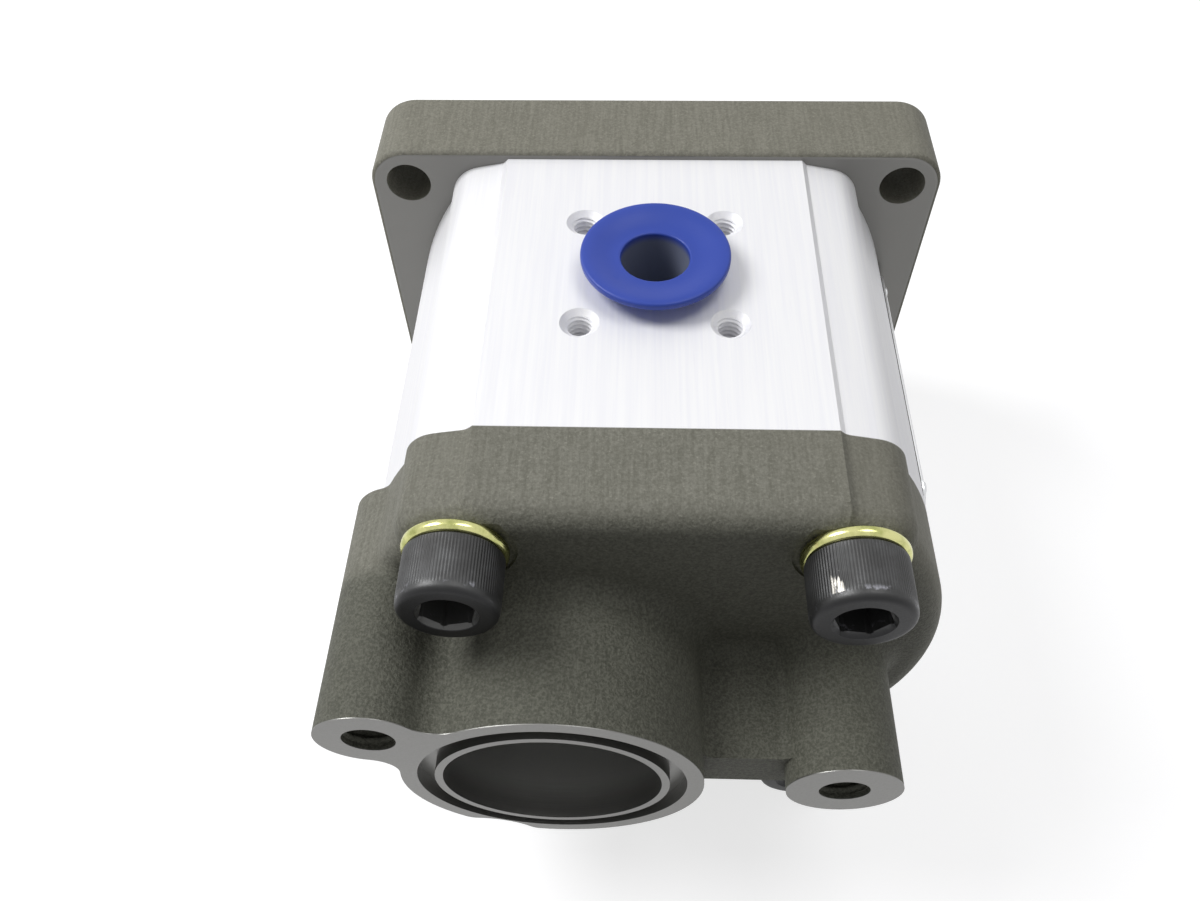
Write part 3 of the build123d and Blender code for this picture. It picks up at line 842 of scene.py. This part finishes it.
def threadForm(along, angle, pitch):
    # 0 at the root and 1 at the crest: a triangle wave of the turns along less the turns round,
    # with its tips cut flat.
    phase = (along / pitch - angle / (2 * np.pi)) % 1.0
    return np.clip(thread["flank"] * np.abs(2 * phase - 1) - thread["flat"], 0, 1)


def tappedSleeve(name, hole, centre, start, end, around, material):
    # Threaded lining of a round hole: its inside follows the thread, its outside is plain.
    angle = turnAround(thread["holePoints"])[None, :]
    along = threadRows(start, end, hole["pitch"])
    inside = hole["wall"] - thread["play"] - hole["depth"] * threadForm(along, angle, hole["pitch"])
    outside = np.full_like(inside[:1], hole["wall"] - thread["backing"])
    radius = np.concatenate([inside, outside, outside])
    place = np.concatenate([along, along[-1:], along[:1]])
    points = around(radius, place, angle, *centre)
    makePiece(name, [(points, True, True)], material, "housing", sharpAngle=60.0)


inletHole = {
    "wall": 4.25,
    "pitch": 1.5,
    "depth": 0.5,
    "long": 15.0,
    "sunk": 0.9,
    "lug": (-59.4, 15.9),       # x and z of each hole
    "post": (17.1, -1.9),
}
portHole = {
    "wall": 2.5,
    "pitch": 1.0,
    "depth": 0.38,
    "long": 11.0,
    "sunk": 1.1,
    "span": 26.0,               # between the four holes, each way
}
inletStart = boxOf("rear_cover")[0][1] + inletHole["sunk"]
for name in ("lug", "post"):
    tappedSleeve(f"inlet_thread_{name}", inletHole, inletHole[name], inletStart,
                 inletStart + inletHole["long"], aroundY, coverIron)
portEnd = boxOf("pump_body")[1][2] - portHole["sunk"]
plugLow, plugHigh = boxOf("port_plug")
for number, (sideX, sideY) in enumerate(((-1, 1), (1, 1), (-1, -1), (1, -1)), start=1):
    centre = ((plugLow[0] + plugHigh[0]) / 2 + sideX * portHole["span"] / 2,
              (plugLow[1] + plugHigh[1]) / 2 + sideY * portHole["span"] / 2)
    tappedSleeve(f"port_thread_{number}", portHole, centre, portEnd - portHole["long"],
                 portEnd, aroundZ, bodyAluminium)
print("threads made")


# Nut and threaded end of the drive shaft.
shaftNut = {
    "across": 19.0,
    "bore": 6.05,
    "mouth": 0.6,           # bevel of the bore
    "bevel": 30.0,          # degrees of the corner chamfer
    "bevelStart": 9.35,     # radius where it meets the face
    "bevelDepth": 1.6,
    "bevelRows": 25,
    "turnPoints": 360,
}
shaftEnd = {
    "core": 6.0,
    "crest": 0.32,
    "pitch": 1.5,
    "plain": 1.3,           # without thread, at the end
    "fade": 0.6,
    "under": 0.5,           # where the thread starts, inside the nut
    "skin": (0.01, 0.002),  # of the thread's root and its lining over the core
}


def chamferedNut():
    # Hexagon whose radius is held below a cone near either face, so its corners are bevelled.
    low, high = boxOf("shaft_nut")
    thick, mouthBevel = high[1] - low[1], shaftNut["mouth"]
    angle = turnAround(shaftNut["turnPoints"])
    hexagon = hexRadius(shaftNut["across"], angle)
    fromFace = np.linspace(0, shaftNut["bevelDepth"], shaftNut["bevelRows"])
    depth = np.concatenate([fromFace, [thick - shaftNut["bevelDepth"]], thick - fromFace[::-1]])
    nearest = np.minimum(depth, thick - depth)[:, None]
    cone = shaftNut["bevelStart"] + nearest / np.tan(math.radians(shaftNut["bevel"]))
    outside = np.minimum(hexagon[None, :], cone)
    bore = np.full((1, len(angle)), shaftNut["bore"])
    mouth = bore + mouthBevel
    radius = np.concatenate([bore, mouth, outside, mouth, bore])
    ends = np.array([mouthBevel, 0.0]), np.array([0.0, -mouthBevel])
    y = np.concatenate([low[1] + ends[0], low[1] + depth, high[1] + ends[1]])[:, None]
    points = aroundY(radius, y, angle[None, :], 0.0, 0.0)
    piece = makePiece("drive_nut", [(points, True, True)], nutZinc, "drive_gear",
                      sharpAngle=30.0)
    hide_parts("shaft_nut")


def shaftThread():
    # Thread on the shaft's end outside the nut: the core's radius plus the thread's form.
    end = boxOf("drive_gear_shaft")[1][1] - shaftEnd["plain"]
    start = boxOf("shaft_nut")[1][1] - shaftEnd["under"]
    angle = turnAround(thread["shaftPoints"])[None, :]
    along = threadRows(start, end, shaftEnd["pitch"])
    ease = np.clip((end - along) / shaftEnd["fade"], 0, 1)
    rise = shaftEnd["crest"] * ease * threadForm(along, angle, shaftEnd["pitch"])
    rootSkin, liningSkin = shaftEnd["skin"]
    outside = shaftEnd["core"] + rootSkin + rise
    inside = np.full_like(outside[:1], shaftEnd["core"] + liningSkin)
    radius = np.concatenate([outside, inside, inside])
    place = np.concatenate([along, along[-1:], along[:1]])
    points = aroundY(radius, place, angle, 0.0, 0.0)
    makePiece("shaft_thread", [(points, True, True)], gearSteel, "drive_gear",
              sharpAngle=60.0)


chamferedNut()
shaftThread()
print("nut and shaft thread made")


# Bare plate on the body's side.
sidePlate = {
    "front": -20.0,
    "back": -78.5,
    "halfHeight": 14.0,
    "corner": 2.0,
    "thickness": 0.8,
    "clear": 0.01,                  # over the body's side
    "edgeShare": (1.0, 0.994),      # of the outline, for the two rows of the rounded edge
    "edgeDrop": (0.15, 0.03),       # of those rows below the top
    "topShare": 0.99,
    "outlinePoints": 160,
    "rings": 9,
    "pin": 1.5,
    "pinRise": 0.5,
    "pinFoot": 0.1,
    "pinInset": 3.2,
    "pinPoints": 24,
    "pinRows": 6,
}


def roundedOutline(halfY, halfZ, corner, count):
    # Points evenly round a rectangle, whose sides come from two clipped triangle waves, then each
    # pulled to the corner radius from the nearest point of the rectangle inset by it.
    turn = np.linspace(0, 4, count, endpoint=False)
    wave = np.stack([np.abs((turn + shift) % 4 - 2) - 1 for shift in (1, 0)])
    half = np.array([[halfY], [halfZ]])
    sharp = half * np.clip(2 * wave, -1, 1)
    inner = np.clip(sharp, corner - half, half - corner)
    away = sharp - inner
    return inner + corner * away / np.hypot(*away)


def barePlate():
    # Rings from the middle of the underside out to the edge and back in over the top, each point
    # laid on the side's cylinder and lifted by its height above it. Each pin is a dome whose
    # height above the side is a cosine of the way out from its middle.
    centreX = boxOf("pump_body")[1][0] - sideRadius
    top = sidePlate["thickness"]
    middleY = (sidePlate["front"] + sidePlate["back"]) / 2
    halfY, halfZ = (sidePlate["front"] - sidePlate["back"]) / 2, sidePlate["halfHeight"]
    y, z = roundedOutline(halfY, halfZ, sidePlate["corner"], sidePlate["outlinePoints"])
    out = np.linspace(0, 1, sidePlate["rings"])
    back = out[::-1] * sidePlate["topShare"]
    share = np.concatenate([out, sidePlate["edgeShare"], back])[:, None]
    edgeLift = top - np.array(sidePlate["edgeDrop"])
    lift = np.concatenate([0 * out, edgeLift, 0 * out + top])[:, None] + sidePlate["clear"]
    z, y = share * z[None, :], middleY + share * y[None, :]
    x = centreX + np.sqrt((sideRadius + lift) ** 2 - z ** 2)
    grids = [(np.stack([x, y, z], -1), False, True)]
    angle = turnAround(sidePlate["pinPoints"])[None, :]
    dome = np.linspace(0, 1, sidePlate["pinRows"])[:, None] * np.pi / 2
    foot = [[sidePlate["pinFoot"]], [sidePlate["pinFoot"]]]
    rise = np.concatenate([top + sidePlate["pinRise"] * np.cos(dome), foot])
    reach = sidePlate["pin"] * np.concatenate([np.sin(dome), [[1.0]], [[0.0]]])
    for sideY in (-1, 1):
        for sideZ in (-1, 1):
            pinY = middleY + sideY * (halfY - sidePlate["pinInset"]) + reach * np.cos(angle)
            pinZ = sideZ * (halfZ - sidePlate["pinInset"])
            pinX = centreX + np.sqrt((sideRadius + rise) ** 2 - pinZ ** 2) + 0 * angle
            pin = np.stack([pinX, pinY, pinZ + reach * np.sin(angle)], -1)
            grids.append((pin, False, True))
    makePiece("side_plate", grids, plateAluminium, "housing", sharpAngle=30.0)


barePlate()
print("side plate made")


# Floor, light and camera.
white = rgb(1.0, 1.0, 1.0)
stage = {
    "reach": 3.0,           # metres each way
    "paper": rgb(0.45, 0.45, 0.46),
    "paperGlow": 0.72,
    "skyWhite": 1.0,
    "skyLight": 0.22,
}
lampTarget = (-0.015, -0.06, 0.0)       # metres, as are the lamps' places and sizes
lamps = {
    "leftLamp": {"place": (-0.70, 0.10, 0.80), "size": 0.5, "watts": 8.4},
    "rightLamp": {"place": (0.30, 0.05, 1.0), "size": 0.5, "watts": 2.6},
}


def paperFloor():
    # Square under the part. It glows only for the rays that show it, so it lights nothing.
    bottom, reach = cadBox[0][2], stage["reach"]
    mesh = bpy.data.meshes.new("floor")
    corners = [(x * reach, y * reach, bottom) for x, y in ((-1, -1), (1, -1), (1, 1), (-1, 1))]
    mesh.from_pydata(corners, [], [(0, 1, 2, 3)])
    floor = bpy.data.objects.new("floor", mesh)
    bpy.context.scene.collection.objects.link(floor)
    finish = Finish("paper", Roughness=1.0, Specular_IOR_Level=0.0, Base_Color=stage["paper"],
                    Emission_Color=white)
    finish.feed(Emission_Strength=finish.seenDirectly() * stage["paperGlow"])
    mesh.materials.append(finish.material)


def softSky():
    # White for the rays that show it, and dimmer as a light.
    world = bpy.data.worlds.new("sky")
    bpy.context.scene.world = world
    world.use_nodes = True
    sky = NodeTree(world.node_tree)
    strength = sky.node("ShaderNodeMapRange", links={"Value": sky.seenDirectly(),
                                                     "To Min": stage["skyLight"],
                                                     "To Max": stage["skyWhite"]})
    background = sky.tree.nodes["Background"]
    background.inputs["Color"].default_value = white
    sky.tree.links.new(strength.socket, background.inputs["Strength"])


def softLamp(name, values):
    lamp = bpy.data.lights.new(name, "AREA")
    lamp.shape, lamp.size, lamp.energy = "DISK", values["size"], values["watts"]
    holder = bpy.data.objects.new(name, lamp)
    holder.location = values["place"]
    aim = Vector(lampTarget) - Vector(values["place"])
    holder.rotation_euler = aim.to_track_quat("-Z", "Y").to_euler()
    bpy.context.scene.collection.objects.link(holder)


view = {
    "place": (-19.225, -185.714, 167.863),      # millimetres
    "down": 52.957,                              # degrees below the horizon
    "yaw": -2.955,
    "roll": -1.542,
    "lens": 30.41,
    "sensor": 36.0,
    "clipStart": 0.01,                           # metres
}


def placeCamera():
    # Looks along the heading and tilt, then rolls about that line.
    down, yaw, roll = (math.radians(view[key]) for key in ("down", "yaw", "roll"))
    flat = math.cos(down)
    ahead = Vector((math.sin(yaw) * flat, math.cos(yaw) * flat, -math.sin(down)))
    level = Vector((math.cos(yaw), -math.sin(yaw), 0))
    upright = level.cross(ahead)
    right = math.cos(roll) * level + math.sin(roll) * upright
    above = math.cos(roll) * upright - math.sin(roll) * level
    lens = bpy.data.cameras.new("camera")
    lens.lens, lens.sensor_width, lens.clip_start = view["lens"], view["sensor"], view["clipStart"]
    camera = bpy.data.objects.new("camera", lens)
    turn = Matrix((right, above, -ahead)).transposed().to_4x4()
    camera.matrix_world = Matrix.Translation(Vector(view["place"]) * mm) @ turn
    bpy.context.scene.collection.objects.link(camera)
    bpy.context.scene.camera = camera


paperFloor()
softSky()
for name, values in lamps.items():
    softLamp(name, values)
placeCamera()
bpy.context.scene.view_settings.view_transform = "Standard"
print("stage set")
